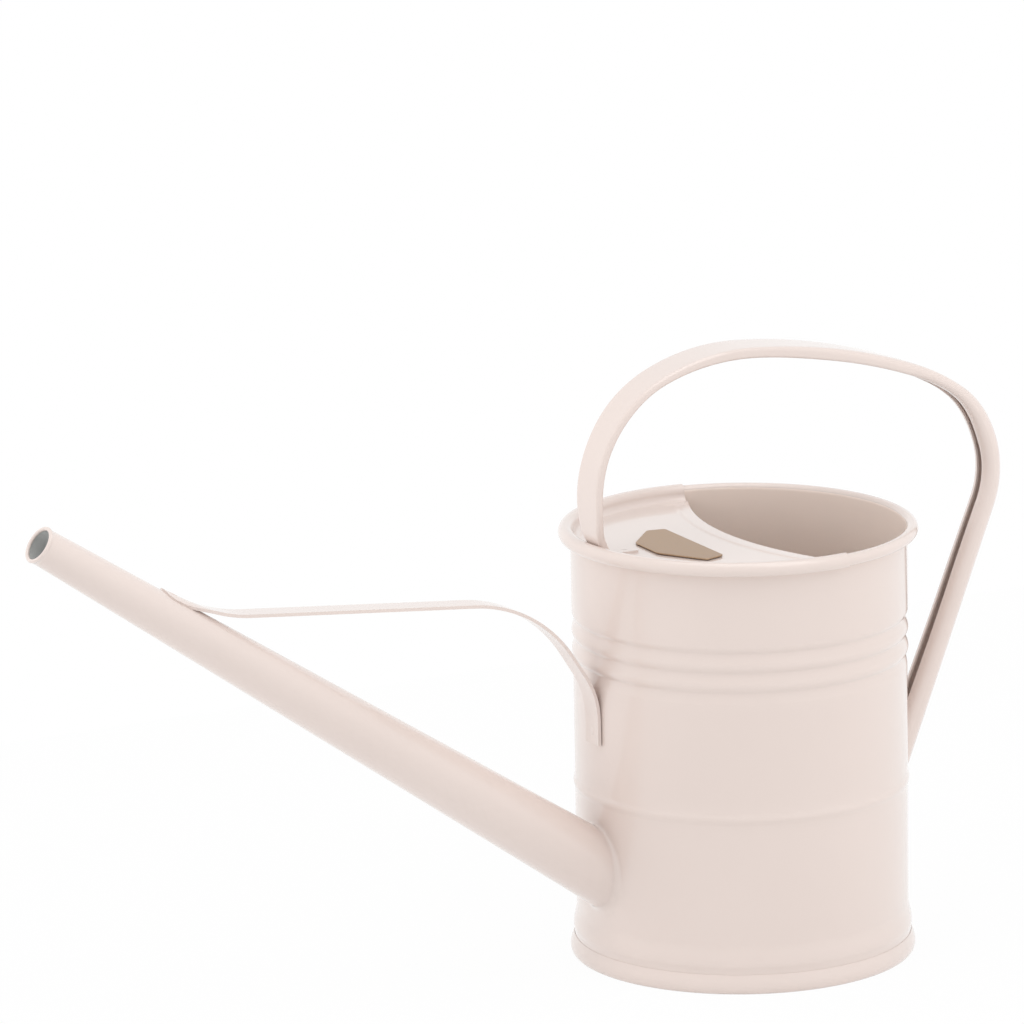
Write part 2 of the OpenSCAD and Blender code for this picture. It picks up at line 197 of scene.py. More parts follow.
def nodeGroup(name, inputs, outputs):
    group = bpy.data.node_groups.new(name, "ShaderNodeTree")
    for label, value in inputs.items():
        group.interface.new_socket(label, in_out="INPUT", socket_type="NodeSocketFloat").default_value = value
    for label, kind in outputs.items():
        group.interface.new_socket(label, in_out="OUTPUT", socket_type=kind)
    return group, group.nodes.new("NodeGroupInput"), group.nodes.new("NodeGroupOutput")


def objectNoise(tree, scaleFrom, detail, stretch=(1, 1, 1)):
    place = tree.nodes.new("ShaderNodeTexCoord")
    turn = tree.nodes.new("ShaderNodeMapping")
    turn.inputs["Scale"].default_value = stretch
    noise = tree.nodes.new("ShaderNodeTexNoise")
    noise.inputs["Detail"].default_value = detail
    tree.links.new(place.outputs["Object"], turn.inputs["Vector"])
    tree.links.new(turn.outputs["Vector"], noise.inputs["Vector"])
    tree.links.new(scaleFrom, noise.inputs["Scale"])
    return noise.outputs["Fac"]


def spread(tree, value, low, high):  # noise, of which most lies from 0.2 to 0.8, laid out anew
    ramp = tree.nodes.new("ShaderNodeMapRange")
    ramp.interpolation_type = "SMOOTHSTEP"
    ramp.inputs["From Min"].default_value = 0.2
    ramp.inputs["From Max"].default_value = 0.8
    tree.links.new(value, ramp.inputs["Value"])
    for socket, source in (("To Min", low), ("To Max", high)):
        if hasattr(source, "is_output"):
            tree.links.new(source, ramp.inputs[socket])
        else:
            ramp.inputs[socket].default_value = source
    return ramp.outputs["Result"]


# Powder coat: a fine orange peel, and soft drifts of gloss and tone
orangePeel, peelIn, peelOut = nodeGroup(
    "orangePeel", {"Peel Scale": 900, "Drift Scale": 14, "Gloss Low": 0.2, "Gloss High": 0.3},
    {"Height": "NodeSocketFloat", "Roughness": "NodeSocketFloat", "Tone": "NodeSocketFloat"})
peelNoise = objectNoise(orangePeel, peelIn.outputs["Peel Scale"], 1.5)
driftNoise = objectNoise(orangePeel, peelIn.outputs["Drift Scale"], 3)
orangePeel.links.new(peelNoise, peelOut.inputs["Height"])
orangePeel.links.new(
    spread(orangePeel, driftNoise, peelIn.outputs["Gloss Low"], peelIn.outputs["Gloss High"]),
    peelOut.inputs["Roughness"])
orangePeel.links.new(spread(orangePeel, driftNoise, 0.0, 1.0), peelOut.inputs["Tone"])

# Brushing: long fine scratches along one direction
brushing, brushIn, brushOut = nodeGroup(
    "brushing", {"Scale": 300, "Rough Low": 0.3, "Rough High": 0.45},
    {"Height": "NodeSocketFloat", "Roughness": "NodeSocketFloat", "Tone": "NodeSocketFloat"})
brushNoise = objectNoise(brushing, brushIn.outputs["Scale"], 4, stretch=(14, 0.5, 1))
brushing.links.new(brushNoise, brushOut.inputs["Height"])
brushing.links.new(
    spread(brushing, brushNoise, brushIn.outputs["Rough Low"], brushIn.outputs["Rough High"]),
    brushOut.inputs["Roughness"])
brushing.links.new(spread(brushing, brushNoise, 0.0, 1.0), brushOut.inputs["Tone"])


def newMaterial(name, group, values, colours, grainHeight, grainStrength, shine):
    # `values` set the group's sockets and `shine` the shader's own, the tone goes between two colours
    material = bpy.data.materials.new(name)
    material.use_nodes = True
    tree = material.node_tree
    shader = tree.nodes["Principled BSDF"]
    for label, value in shine.items():
        shader.inputs[label].default_value = value
    effect = tree.nodes.new("ShaderNodeGroup")
    effect.node_tree = group
    for label, value in values.items():
        effect.inputs[label].default_value = value
    tone = tree.nodes.new("ShaderNodeMix")
    tone.data_type = "RGBA"
    for socket, colour in zip(("A", "B"), colours):
        [i for i in tone.inputs if i.name == socket and i.type == "RGBA"][0].default_value = (*colour, 1)
    tree.links.new(effect.outputs["Tone"], tone.inputs[0])
    tree.links.new([o for o in tone.outputs if o.type == "RGBA"][0], shader.inputs["Base Color"])
    tree.links.new(effect.outputs["Roughness"], shader.inputs["Roughness"])
    grain = tree.nodes.new("ShaderNodeBump")
    grain.inputs["Strength"].default_value = grainStrength
    grain.inputs["Distance"].default_value = grainHeight * mm
    tree.links.new(effect.outputs["Height"], grain.inputs["Height"])
    tree.links.new(grain.outputs["Normal"], shader.inputs["Normal"])
    return material


creamPaint = newMaterial(
    "creamPaint", orangePeel, {"Peel Scale": 700, "Drift Scale": 14, "Gloss Low": 0.3, "Gloss High": 0.38},
    ((0.755, 0.645, 0.595), (0.775, 0.665, 0.615)), grainHeight=0.02, grainStrength=0.3,
    shine={"Coat Weight": 1.0, "Coat Roughness": 0.08})
# the same cream paint made much lighter for the inside of the can: painted light, standing in for the light
# that bounces round in there
litInsidePaint = newMaterial(
    "litInsidePaint", orangePeel, {"Peel Scale": 500, "Drift Scale": 18, "Gloss Low": 0.38, "Gloss High": 0.5},
    ((0.95, 0.82, 0.738), (0.97, 0.838, 0.755)), grainHeight=0.03, grainStrength=0.4,
    shine={"Coat Weight": 0.1, "Coat Roughness": 0.2})
badgeBrass = newMaterial(
    "badgeBrass", brushing, {"Scale": 260, "Rough Low": 0.32, "Rough High": 0.46},
    ((0.385, 0.262, 0.172), (0.475, 0.335, 0.225)), grainHeight=0.01, grainStrength=0.25,
    shine={"Metallic": 1.0})
bareSteel = newMaterial(
    "bareSteel", brushing, {"Scale": 160, "Rough Low": 0.3, "Rough High": 0.5},
    ((0.76, 0.77, 0.76), (0.84, 0.85, 0.84)), grainHeight=0.02, grainStrength=0.3,
    shine={"Metallic": 0.25})
clearGlue = newMaterial(
    "clearGlue", orangePeel, {"Peel Scale": 400, "Drift Scale": 60, "Gloss Low": 0.5, "Gloss High": 0.7},
    ((0.60, 0.57, 0.52), (0.68, 0.65, 0.60)), grainHeight=0.03, grainStrength=0.4, shine={})
print("finishes: cream paint, lightened inside paint, brass, bare steel, glue")


body = {
    "radius": 60, "upperStep": 0.4, "sheet": 0.6, "lowEnd": 0.7,
    "rimRadius": 2.2, "rimGap": 0.3, "litPaintOverRim": 0.9,
    "grooveHeight": 117, "groovePitch": 7.2, "grooveDepth": 0.95, "grooveSoftness": 0.1, "grooveLean": 1.6,
    "bandsFrom": -1.625, "bandsTo": 1.375, "bandRows": 24,
    "beadHeight": 63.8, "beadWidth": 4.6, "beadOut": 0.5, "beadFullness": 1.5,
    "valleyRadius": 60.85, "valleyHeight": 8, "crestOut": 0.3, "crestHeight": 10, "flareHeight": 8,
    "steps": 256, "row": 4,
}
rimTop = boxOf("body_shell")[1].z
rimHeight = rimTop - body["rimRadius"]
upperRadius = body["radius"] + body["upperStep"]
rimCentre = (upperRadius - body["sheet"] + body["rimRadius"], rimHeight)


def grooveOutline():
    soft, rows = body["grooveSoftness"], body["bandRows"]
    floor = upperRadius - body["grooveDepth"]
    points = []
    for k in range(round(body["bandsFrom"] * rows), round(body["bandsTo"] * rows)):
        # each band swells slowly and turns in more steeply at its lower end
        share = (-k / rows) % 1
        wave = (hypot(sin(pi * share ** body["grooveLean"]), soft) - soft) / (hypot(1, soft) - soft)
        crest = body["radius"] if k < -rows else upperRadius
        points.append((mix(floor, crest, wave), body["grooveHeight"] + body["groovePitch"] * k / rows))
    return points


def wallOutline():
    valley = (body["valleyRadius"], body["valleyHeight"])
    crest = (body["valleyRadius"] + body["crestOut"], body["crestHeight"])
    flareEnd = (body["radius"], body["crestHeight"] + body["flareHeight"])
    rise = [(body["valleyRadius"], body["lowEnd"])] + easedRun(valley, crest, 4)
    flare = easedRun(crest, flareEnd, 12) + [flareEnd]
    bead = [(body["radius"] + body["beadOut"] * sin(pi * k / 12) ** body["beadFullness"],
             body["beadHeight"] + body["beadWidth"] * (k / 12 - 0.5)) for k in range(13)]
    outside = splitRuns(rise + flare + bead + grooveOutline() + [(upperRadius, rimHeight)], body["row"])
    # the curl goes over from the wall and its end stops just short of it
    curlEnd = degrees(acos((rimCentre[0] - upperRadius - body["rimGap"]) / body["rimRadius"])) - 180
    curlInside = arc(rimCentre, body["rimRadius"] - body["sheet"], 180, curlEnd, 28)[1:]
    curlOutside = arc(rimCentre, body["rimRadius"], curlEnd, 180, 40)
    inside = [(r - body["sheet"], z) for r, z in reversed(outside[:-1])]
    return outside + curlInside + curlOutside + inside


def paintLitInside(bm, low, high, reach):
    # faces that look at the can's axis, or up within the reach, take the piece's second material, the
    # lightened inside paint that is painted light
    for face in bm.faces:
        middle = face.calc_center_median()
        outward = face.normal.x * middle.x + face.normal.y * middle.y
        upward = face.normal.z > 0.5 and hypot(middle.x, middle.y) < reach
        if low < middle.z < high and (outward < 0 or upward):
            face.material_index = 1


bm = bmesh.new()
spinOutline(bm, wallOutline(), body["steps"])
bm.normal_update()
# the inner faces, up to just over the rim, take the lightened paint: painted light
paintLitInside(bm, 0, rimHeight + body["litPaintOverRim"], 0)
wall = makePiece("wall", bm, creamPaint, "cream_paint", "body_shell")
wall.data.materials.append(litInsidePaint)
print("body: wall with grooves, bead, flare and rolled rim")

foot = {
    "radius": 62.4, "height": 7, "bulge": 1.4, "sheet": 0.6, "underWidth": 1.3, "underHeight": 2.2,
    "sideDrop": 0.1, "lipRadius": 0.05, "backDrop": 0.4, "backOut": 0.7,
    "panRadius": 60.2, "panHeight": 3, "panRound": 1.5, "panFlat": 1, "litPaintRise": 0.3,
    "steps": 256, "row": 8,
}


def footOutline():  # from the axis under the pan, round the seam and back over the pan
    under = [(foot["radius"] - foot["underWidth"] * (1 - sin(pi / 2 * k / 10)),
              foot["underHeight"] * (1 - cos(pi / 2 * k / 10))) for k in range(10)]
    side = [(foot["radius"] - foot["bulge"] * (1 - cos(pi / 2 * k / 12)),
             mix(foot["underHeight"], foot["height"] - foot["sideDrop"], k / 12)) for k in range(13)]
    sideEnd = side[-1]
    lip = arc((sideEnd[0] - foot["lipRadius"], sideEnd[1]), foot["lipRadius"], 0, 150, 3)[1:]
    floor, pan, bendRadius = foot["panHeight"], foot["panRadius"], foot["panRound"]
    ring = pan - foot["sheet"]
    underPan = [(0, floor), (ring - bendRadius - foot["panFlat"], floor)]
    underPan += arc((ring - bendRadius, floor - bendRadius), bendRadius, 90, 0, 6) + [(ring, 0)]
    back = [(pan + foot["backOut"], foot["height"] - foot["backDrop"]),
            (pan + foot["backOut"], foot["sheet"]), (pan, foot["sheet"])]
    top = floor + foot["sheet"]
    overPan = arc((pan - bendRadius, top - bendRadius), bendRadius, 0, 90, 6) + [(0, top)]
    return splitRuns(underPan + under, foot["row"]) + side + lip + back + splitRuns(overPan, foot["row"])


bm = bmesh.new()
spinOutline(bm, footOutline(), foot["steps"], closed=False)
bm.normal_update()
# the pan's top inside the can takes the lightened paint too: painted light
paintLitInside(bm, foot["panHeight"] + foot["litPaintRise"], foot["height"], foot["panRadius"])
footSeam = makePiece("footSeam", bm, creamPaint, "cream_paint", "base_pan")
footSeam.data.materials.append(litInsidePaint)
print("body: bottom with its rolled foot seam")


spout = {
    "length": 261.9, "slope": 34.2, "wallHeight": 38.7, "rootRadius": 12.6, "tipRadius": 6.5, "sheet": 0.6,
    "rootReach": 30, "tipRoll": 0.72, "tipOut": 0.4, "tipStraight": 2, "boreDepth": 0.4, "boreEnd": 0.3,
    "filletWidth": 2.2, "filletSkin": 0.02, "filletSink": 0.5, "filletAround": 128, "filletAcross": 10,
    "holeDepth": 24, "steps": 128, "row": 8,
}
spoutPlace = (Matrix.Translation((-body["radius"], 0, spout["wallHeight"]))
              @ Matrix.Rotation(radians(spout["slope"] - 90), 4, "Y"))


def spoutRadius(distance):
    return mix(spout["rootRadius"], spout["tipRadius"], distance / spout["length"])


def onSpout(angle, distance, grow):  # a point of the cone, made wider, somewhere along the spout
    radius = spoutRadius(distance) + grow
    return spoutPlace @ Vector((radius * cos(angle), radius * sin(angle), distance))


def onWall(angle, grow):  # distance along the spout at which its cone, made wider, meets the wall
    distance = 0.0
    for step in range(12):  # each step closes most of the gap that is left
        point = onSpout(angle, distance, grow)
        distance += (body["radius"] - hypot(point.x, point.y)) / cos(radians(spout["slope"]))
    return distance


def spoutOutline():
    tip, roll = spout["length"], spout["tipRoll"]
    straightEnd = tip - spout["tipStraight"]
    outside = splitRuns([(spout["rootRadius"], 0), (spoutRadius(straightEnd), straightEnd)], spout["row"])
    ring = arc((spout["tipRadius"] + spout["tipOut"] - roll, tip), roll, -50, 220, 20)
    inside = [(r - spout["sheet"], z) for r, z in reversed(outside)]
    return outside + ring + inside


bm = bmesh.new()
spinOutline(bm, spoutOutline(), spout["steps"])
for v in bm.verts:  # the rows near the root are slid along the spout, so that it ends on the round wall
    if v.co.z < spout["rootReach"]:
        start = onWall(atan2(v.co.y, v.co.x), hypot(v.co.x, v.co.y) - spoutRadius(v.co.z))
        slid = mix(start, spout["rootReach"], v.co.z / spout["rootReach"])
        stretch = spoutRadius(slid) / spoutRadius(v.co.z)
        v.co = (v.co.x * stretch, v.co.y * stretch, slid)
for face in bm.faces:  # the bore is left bare
    middle = face.calc_center_median()
    boreRadius = spoutRadius(middle.z) - spout["boreDepth"]
    if hypot(middle.x, middle.y) < boreRadius and middle.z < spout["length"] - spout["boreEnd"]:
        face.material_index = 1
bmesh.ops.transform(bm, matrix=spoutPlace, verts=bm.verts)
spoutTube = makePiece("spoutTube", bm, creamPaint, "cream_paint", "spout_tube")
spoutTube.data.materials.append(bareSteel)


def filletCorner(i, j):  # round the root, j goes over the hollow of the fillet and back behind it
    angle, width, across = 2 * pi * i / spout["filletAround"], spout["filletWidth"], spout["filletAcross"]
    reach = onWall(angle, 0)
    if j == across:
        return onSpout(angle, reach - spout["filletSink"], -spout["filletSink"])
    onCone, inCorner = onSpout(angle, reach + width, spout["filletSkin"]), onSpout(angle, reach, 0)
    onBody = onSpout(angle, onWall(angle, width), width)
    onBody += Vector((onBody.x, onBody.y, 0)).normalized() * spout["filletSkin"]
    t = (j % (across + 1)) / (across - 1)
    return onCone * (1 - t) ** 2 + inCorner * 2 * t * (1 - t) + onBody * t ** 2


bm = bmesh.new()
bentGrid(bm, spout["filletAround"], spout["filletAcross"] + 1, filletCorner)
bmesh.ops.remove_doubles(bm, verts=bm.verts, dist=touching / 2)
bmesh.ops.recalc_face_normals(bm, faces=bm.faces)
makePiece("solderFillet", bm, creamPaint, "cream_paint", "spout_solder")

bm = bmesh.new()
holeRadius = spout["rootRadius"] - spout["sheet"]
bmesh.ops.create_cone(bm, cap_ends=True, segments=64, depth=spout["holeDepth"], matrix=spoutPlace,
                      radius1=holeRadius, radius2=holeRadius)
holeCutter = makePiece("holeCutter", bm, litInsidePaint, "cream_paint")
cutAway(wall, holeCutter)
print("spout: tapered tube, solder fillet and the hole in the wall")


cover = {
    "sheet": 0.5, "drop": 4.8, "gap": 0.05, "mouthOffset": 3, "mouthRadius": 116,
    "hemWidth": 4.1, "hemStep": 1.6, "hemRise": 0.4, "edgeRound": 0.2,
    # how far behind the free edge the rows lie that make the hem
    "hemRows": [6.2, 5.8, 5.4, 5.1, 4.8, 4.5, 4.2, 3.9, 3.3, 2, 1, 0.4, 0.1, 0],
    "nearEnd": 97, "farEnd": 101, "crimpEnd": -52,  # the crimp's ends, round the can and round the rim
    "around": 260, "crimpRows": 24, "cornerRows": 10, "floorRows": 14,
}
coverTop = rimTop - cover["drop"]
crimpRadius = cover["gap"] + body["rimRadius"] + cover["sheet"]
edgeRadius = rimCentre[0] - crimpRadius
cornerRadius = rimHeight - coverTop
floorRadius = edgeRadius - cornerRadius
mouthX = cover["mouthRadius"] - cover["mouthOffset"]


def mouthDistance(angle, behind):  # along a ray from the can's axis to the free edge, or behind it
    c, s = mouthX * cos(angle), mouthX * sin(angle)
    return sqrt(max(0, (cover["mouthRadius"] + behind) ** 2 - s * s)) - c


def coverSection(angle):  # (radius, height) points from the crimp's end to the free edge
    points = arc(rimCentre, crimpRadius, cover["crimpEnd"], 180, cover["crimpRows"])
    points += arc((floorRadius, rimHeight), cornerRadius, 0, -90, cover["cornerRows"])[1:]
    edge, hemRows, floorRows = mouthDistance(angle, 0), cover["hemRows"], cover["floorRows"]
    hem = []
    for k, behind in enumerate(hemRows):  # where the floor is narrow the rows stay in order
        limit = mix(floorRadius, edge, (k + 1) / len(hemRows))
        hem.append(min(mouthDistance(angle, behind), limit))
    points += [(mix(floorRadius, hem[0], k / floorRows), coverTop) for k in range(1, floorRows)]
    for r, behind in zip(hem, hemRows):
        rise = 1 - ease((behind - cover["hemWidth"]) / cover["hemStep"])
        points.append((r, coverTop + cover["hemRise"] * rise))
    return points


def coverCorner(i, j):
    angle = radians(mix(-cover["nearEnd"], cover["farEnd"], i / cover["around"]))
    r, z = coverSection(angle)[j]
    return Vector((-r * cos(angle), r * sin(angle), z))


bm = bmesh.new()
bentGrid(bm, cover["around"], len(coverSection(0)) - 1, coverCorner)
topCover = makePiece("topCover", bm, creamPaint, "cream_paint", "top_cover")
thicken(topCover, cover["sheet"])
roundEdges(topCover, cover["edgeRound"])

badge = {
    "glue": 0.2, "thickness": 0.6, "edge": 0.3, "corner": 1.2, "glueShare": 0.88,
    "shape": [(0, 0.42), (-0.34, 0.45), (-0.95, 0.17), (-1, -0.19), (-0.5, -0.55), (-0.1, -0.5)],
}
badgeLow, badgeHigh = boxOf("badge_plate")


def sixSidedPlate(bm, share, low, high):  # the badge's outline, drawn in to a share of its size
    edge, wide, long = badgeHigh.x, badgeHigh.x - badgeLow.x, badgeHigh.y - badgeLow.y
    middle = Vector((edge - wide / 2, 0, low))
    corners = [Vector((edge + wide * x, long * y, low)) for x, y in badge["shape"]]
    face = bm.faces.new([bm.verts.new(middle + share * (c - middle)) for c in corners])
    top = bmesh.ops.extrude_face_region(bm, geom=[face])
    verts = [v for v in top["geom"] if isinstance(v, bmesh.types.BMVert)]
    bmesh.ops.translate(bm, verts=verts, vec=(0, 0, high - low))
    upright = [e for e in bm.edges if abs(e.verts[0].co.z - e.verts[1].co.z) > (high - low) / 2]
    bmesh.ops.bevel(bm, geom=upright, offset=badge["corner"], affect="EDGES", segments=6,
                    profile=0.5, material=-1)
    bmesh.ops.recalc_face_normals(bm, faces=bm.faces)


glueTop = coverTop + badge["glue"]
bm = bmesh.new()
sixSidedPlate(bm, 1, glueTop, glueTop + badge["thickness"])
badgePlate = makePiece("badgePlate", bm, badgeBrass, "badge_brass", "badge_plate")
roundEdges(badgePlate, badge["edge"])
bm = bmesh.new()
sixSidedPlate(bm, badge["glueShare"], coverTop, glueTop)
makePiece("badgeGlue", bm, clearGlue, "adhesive", "badge_adhesive")
print("cover: floor, hollow corner, crimp and hem, with a bare brass badge")


handle = {
    "thickness": 0.8, "edgeRound": 0.18, "row": 3, "turn": 3,
    "footLean": 39.9, "footTab": 14.5, "footBend": 3, "footBlend": 6, "tabWidth": 10, "tabEdge": 0.3,
    # each bend over the hand as (radius, turn)
    "grip": [(20.5, 33.2), (97, 5), (46.9, 68.2), (80.3, 26.8), (229, 17.9), (95, 14.3)],
    "rearTop": 38.5, "rearBend": 12, "rearTab": 9, "rearTabTop": 36,
    "columns": (6, 7, 4, 5, 3),  # across half the strap: face, corner, lip, corner, turned-in edge
    # sizes of the section as (share of the strap's length, size)
    "widths": [(0, 10), (0.05, 15.5), (0.1, 14.8), (0.16, 15.7), (0.27, 16.5), (0.34, 17.6), (0.6, 10),
               (0.86, 11)],
    "depths": [(0, 3.2), (0.045, 2.7), (0.16, 2.7), (0.29, 3.8), (0.38, 4.4), (0.52, 4.4), (0.61, 7.6),
               (0.76, 8.2), (0.97, 9.6)],
    "corners": [(0.29, 1.2), (0.59, 4.6)], "cornerShare": 0.55,
    "edges": [(0.39, 0.9), (0.6, 3.5), (0.67, 1.8)], "leastEdge": 0.2,
    "edgeCorners": [(0.45, 0.9), (0.58, 3.4)], "edgeCornerShare": 0.42,
    "leastLip": 0.1, "lowestLip": 2.2, "lipFlat": 1.2, "lipFade": 1.6,
}
footX = -floorRadius
seatX = body["radius"] + cover["gap"]
halfColumns = sum(handle["columns"])


def strapRuns():  # from the tab on the cover over the top and down to the tab on the wall
    footTurn = 90 - handle["footLean"]
    tangent = handle["footBend"] * tan(radians(footTurn / 2))
    tab = [(handle["footTab"] - tangent, 0), bend(handle["footBend"], footTurn)]
    grip = [bend(radius, turn) for radius, turn in handle["grip"]]
    grip[0] = (grip[0][0] - tangent, grip[0][1])
    start = (footX + handle["footTab"], coverTop, 180)
    x, z, heading = pathAt(start, tab + grip, sum(length for length, turn in tab + grip))
    # the rear leg runs along the line that touches the bend above it and the bend onto the wall
    top, low = handle["rearTop"], handle["rearBend"]
    reach = Vector((seatX + handle["thickness"] + low - x - top * sin(radians(heading)),
                    handle["rearTabTop"] - z + top * cos(radians(heading))))
    legHeading = degrees(atan2(reach.y, reach.x) - asin((top + low) / reach.length))
    leg = [bend(top, heading - legHeading), (sqrt(reach.length ** 2 - (top + low) ** 2), 0),
           bend(low, legHeading + 90), (handle["rearTab"], 0)]
    return start, tab + grip + leg, tab[0][0], tab[0][0] + tab[1][0]


strapStart, strapPath, bendStart, footEnd = strapRuns()
strapStops = stopsAlong(strapPath, handle["row"], handle["turn"])
strapLength = strapStops[-1] - handle["rearTab"] - footEnd


def strapSection(distance, x, z, heading):  # half of the strap's section as runs
    share = (distance - footEnd) / strapLength
    width, depth = tableAt(handle["widths"], share), tableAt(handle["depths"], share)
    corner, edge = tableAt(handle["corners"], share), tableAt(handle["edges"], share)
    edgeCorner = tableAt(handle["edgeCorners"], share)
    fold = 90 * ease((distance - bendStart) / (footEnd - bendStart))
    if x > 0 and z < rimHeight:  # the lips end on the wall
        toWall = max(0, -(x - seatX) / sin(radians(heading)))
        fold *= ease((toWall - handle["lipFlat"]) / handle["lipFade"])
        depth = min(depth, max(handle["lowestLip"], toWall))
    corner = min(corner, handle["cornerShare"] * depth)
    edgeCorner = min(edgeCorner, handle["edgeCornerShare"] * depth)
    lip = max(handle["leastLip"], depth - corner - edgeCorner)
    flat = 1 - fold / 90
    face = width / 2 - mix(corner, (corner + edgeCorner) * pi / 2 + lip + handle["tabEdge"], flat)
    turnedIn = mix(max(handle["leastEdge"], edge - edgeCorner), handle["tabEdge"], flat)
    return [(face, 0), (corner * pi / 2, fold), (lip, 0), (edgeCorner * pi / 2, fold), (turnedIn, 0)]


lipColumn = sum(handle["columns"][:2])
bendRow = min(range(len(strapStops)), key=lambda j: abs(strapStops[j] - bendStart))
footRow = min(range(len(strapStops)), key=lambda j: abs(strapStops[j] - footEnd))
strapRows = []
for stop in strapStops:
    x, z, heading = pathAt(strapStart, strapPath, stop)
    strapRows.append((x, z, heading, strapSection(stop, x, z, heading)))


def strapCorner(i, j):
    if abs(i - halfColumns) > lipColumn and j < footRow:  # the lips go straight down to the cover
        corner = strapCorner(i, footRow)
        share = (footEnd - strapStops[j]) / (footEnd - bendStart)
        corner.z = mix(corner.z, coverTop + cover["gap"], min(1, share))
        return corner
    x, z, heading, runs = strapRows[j]
    side, column = (1 if i > halfColumns else -1), abs(i - halfColumns)
    distance = 0.0
    for count, (length, turn) in zip(handle["columns"], runs):
        distance += length * min(column, count) / count
        column = max(0, column - count)
    y, up, turned = pathAt((0, 0, 0), runs, distance)
    if j >= footRow:  # the sections above the foot turn from upright to square to the strap
        heading = mix(90, heading, ease((strapStops[j] - footEnd) / handle["footBlend"]))
    radius = handle["tabWidth"] / 2
    if strapStops[j] < radius:  # the tab's end is round
        inset = radius - sqrt(max(0, radius ** 2 - min(abs(y), radius) ** 2))
        x -= inset * (1 - strapStops[j] / radius)
    return Vector((x - up * sin(radians(heading)), side * y, z + up * cos(radians(heading))))


bm = bmesh.new()
strapSheet = bentGrid(bm, 2 * halfColumns, len(strapStops) - 1, strapCorner)
tabLips = [corner for (i, j), corner in strapSheet.items()
           if j < bendRow and abs(i - halfColumns) > lipColumn]
bmesh.ops.delete(bm, geom=tabLips, context="VERTS")  # the tab has no lips
strapHandle = makePiece("strapHandle", bm, creamPaint, "cream_paint", "handle")
thicken(strapHandle, handle["thickness"], even=False)
roundEdges(strapHandle, handle["edgeRound"])
print("handle: one channel-shaped strap with its foot tab and rear tab")


brace = {
    "width": 9.2, "thickness": 1.2, "gap": 0.05, "edgeRound": 0.15, "across": 20, "row": 3, "turn": 3,
    "reach": 211.5, "tab": 9, "liftRadius": 55, "kneeRadius": 52.6, "kneeAngle": 57.3, "kneeDrop": 9.4,
    "toeRadius": 33.2, "lowHeight": 84.6, "lowTab": 8,
    "endRows": [0, 0.5, 1, 1.5, 2], "endRound": 4.6, "endBlend": 6, "endSink": 0.6, "sinkLength": 16,
    "spoutFade": 12, "wallFrom": 2.2, "wallFade": 1.2,  # the last two in lengths of the low tab
}


def braceRuns():  # from the tab on the spout to the tab on the wall
    slope, half = radians(spout["slope"]), brace["thickness"] / 2 + brace["gap"]
    taper = degrees(atan((spout["rootRadius"] - spout["tipRadius"]) / spout["length"]))
    heading = taper - spout["slope"]
    normal = Vector((-sin(radians(heading)), cos(radians(heading))))
    along = Vector((cos(radians(heading)), sin(radians(heading))))
    top = Vector((-body["radius"], spout["wallHeight"])) \
        + brace["reach"] * Vector((-cos(slope), sin(slope))) \
        + spoutRadius(brace["reach"]) * Vector((sin(slope), cos(slope))) + half * normal
    knee = radians(brace["kneeAngle"])
    toe = Vector((-body["radius"] - half, brace["lowHeight"] + brace["lowTab"]))
    kneeEnd = toe - brace["toeRadius"] * Vector((1 - sin(knee), -cos(knee))) \
        + brace["kneeDrop"] * Vector((-cos(knee), sin(knee)))
    kneeCentre = kneeEnd - brace["kneeRadius"] * Vector((sin(knee), cos(knee)))
    liftCentre = top + brace["tab"] * along + brace["liftRadius"] * normal
    reach = kneeCentre - liftCentre
    both = brace["liftRadius"] + brace["kneeRadius"]
    spanHeading = degrees(atan2(reach.y, reach.x) + asin(both / reach.length))
    runs = [(brace["tab"], 0), bend(brace["liftRadius"], heading - spanHeading),
            (sqrt(reach.length ** 2 - both ** 2), 0),
            bend(brace["kneeRadius"], spanHeading + brace["kneeAngle"]), (brace["kneeDrop"], 0),
            bend(brace["toeRadius"], 90 - brace["kneeAngle"]), (brace["lowTab"], 0)]
    return (top.x, top.y, heading), runs


braceStart, bracePath = braceRuns()
laterStops = [s for s in stopsAlong(bracePath, brace["row"], brace["turn"]) if s > brace["endRows"][-1]]
braceStops = brace["endRows"] + laterStops


def endSink(stop):  # the upper end is let into the spout
    return brace["endSink"] * (1 - ease(stop / brace["sinkLength"]))


def braceCorner(i, j):
    stop = braceStops[j]
    y = brace["width"] * (i / brace["across"] - 0.5)
    overhang = max(0, abs(y) - brace["width"] / 2 + brace["endRound"])
    inset = brace["endRound"] - sqrt(brace["endRound"] ** 2 - overhang ** 2)
    stop += inset * max(0, 1 - stop / brace["endBlend"])
    x, z, heading = pathAt(braceStart, bracePath, stop)
    # the upper end hugs the spout, and the lower end the wall
    hugSpout = 1 - ease((stop - brace["tab"]) / brace["spoutFade"])
    tabsToEnd = (braceStops[-1] - stop) / brace["lowTab"]
    hugWall = ease((brace["wallFrom"] - tabsToEnd) / brace["wallFade"])
    radius = spoutRadius(brace["reach"] - stop) if hugSpout > 0 else body["radius"]
    sink = (radius - sqrt(radius ** 2 - y * y)) * max(hugSpout, hugWall)
    up = brace["thickness"] / 2 - sink - endSink(stop)
    return Vector((x - up * sin(radians(heading)), y, z + up * cos(radians(heading))))


bm = bmesh.new()
bentGrid(bm, brace["across"], len(braceStops) - 1, braceCorner)
spoutBrace = makePiece("spoutBrace", bm, creamPaint, "cream_paint", "brace")
thicken(spoutBrace, brace["thickness"])
roundEdges(spoutBrace, brace["edgeRound"])
print("brace: strap from the spout to the wall")

weld = {"radius": 2.15, "rise": 0.06, "round": 0.3, "rearHeight": 31.5, "steps": 32}


